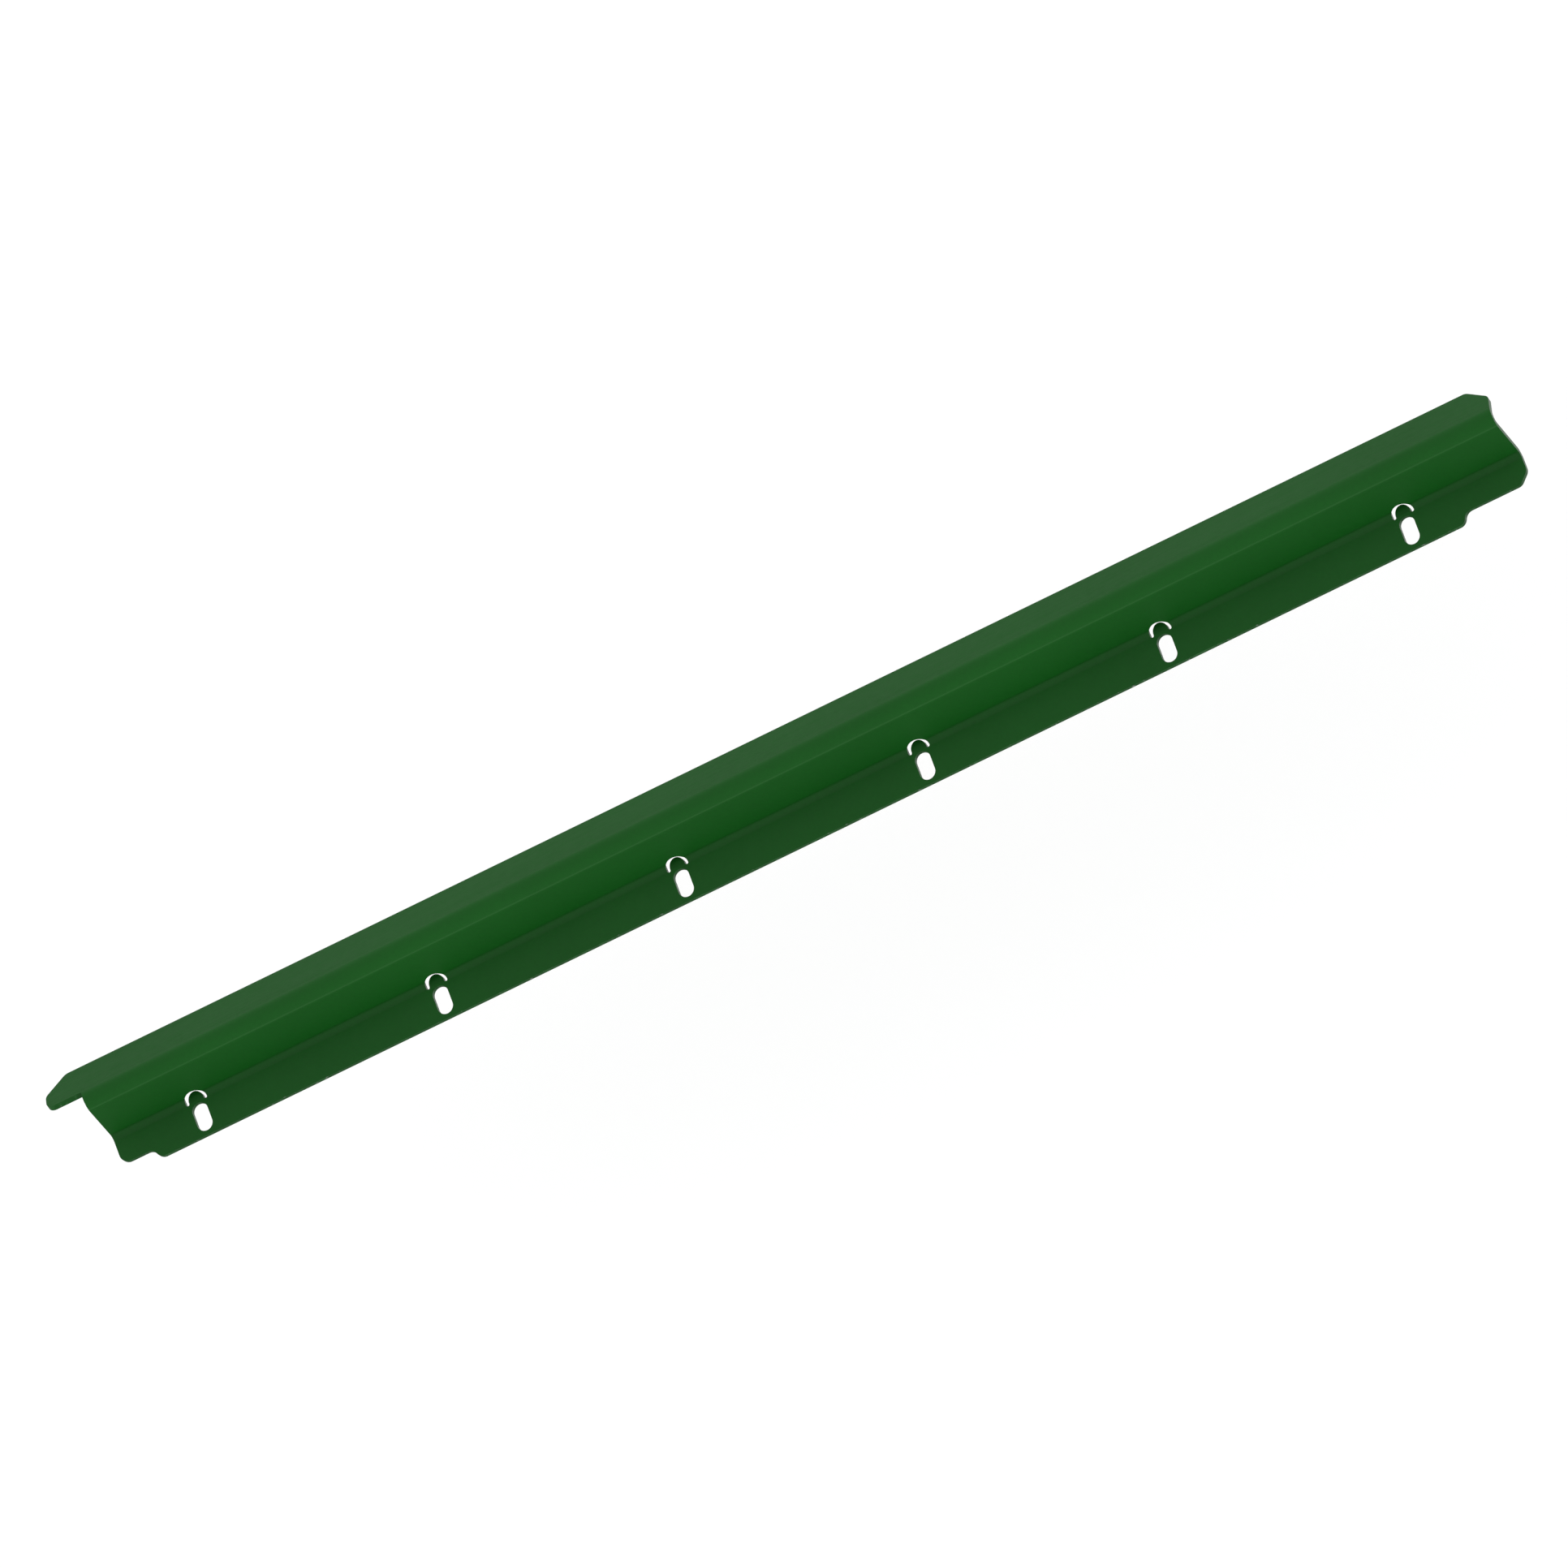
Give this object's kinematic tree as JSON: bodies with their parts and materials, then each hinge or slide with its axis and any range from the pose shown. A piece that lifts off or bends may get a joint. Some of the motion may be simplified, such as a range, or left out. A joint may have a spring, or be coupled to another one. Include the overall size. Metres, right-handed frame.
{
  "type": "straight slide rail",
  "caption": "Straight slide rail bent from one steel strip: a raised ridge, a slotted fixing flange with a lanced tab above each slot, and chamfered ends.",
  "frame": {"origin": "on the back of the slotted flange, in the middle of the slot row, where the rail is bolted down", "axes": "+X along the rail, away from the end with the tongue; +Y across it, from the slotted flange to the top flange; +Z square to the slotted flange, from its back to its front, the side that the ridge stands on"},
  "size_m": [1.0754, 0.0746, 0.0402],
  "materials": {
    "green_paint": "satin"
  },
  "bodies": {
    "root": {"slide_rail": "green_paint"}
  },
  "joints": []
}
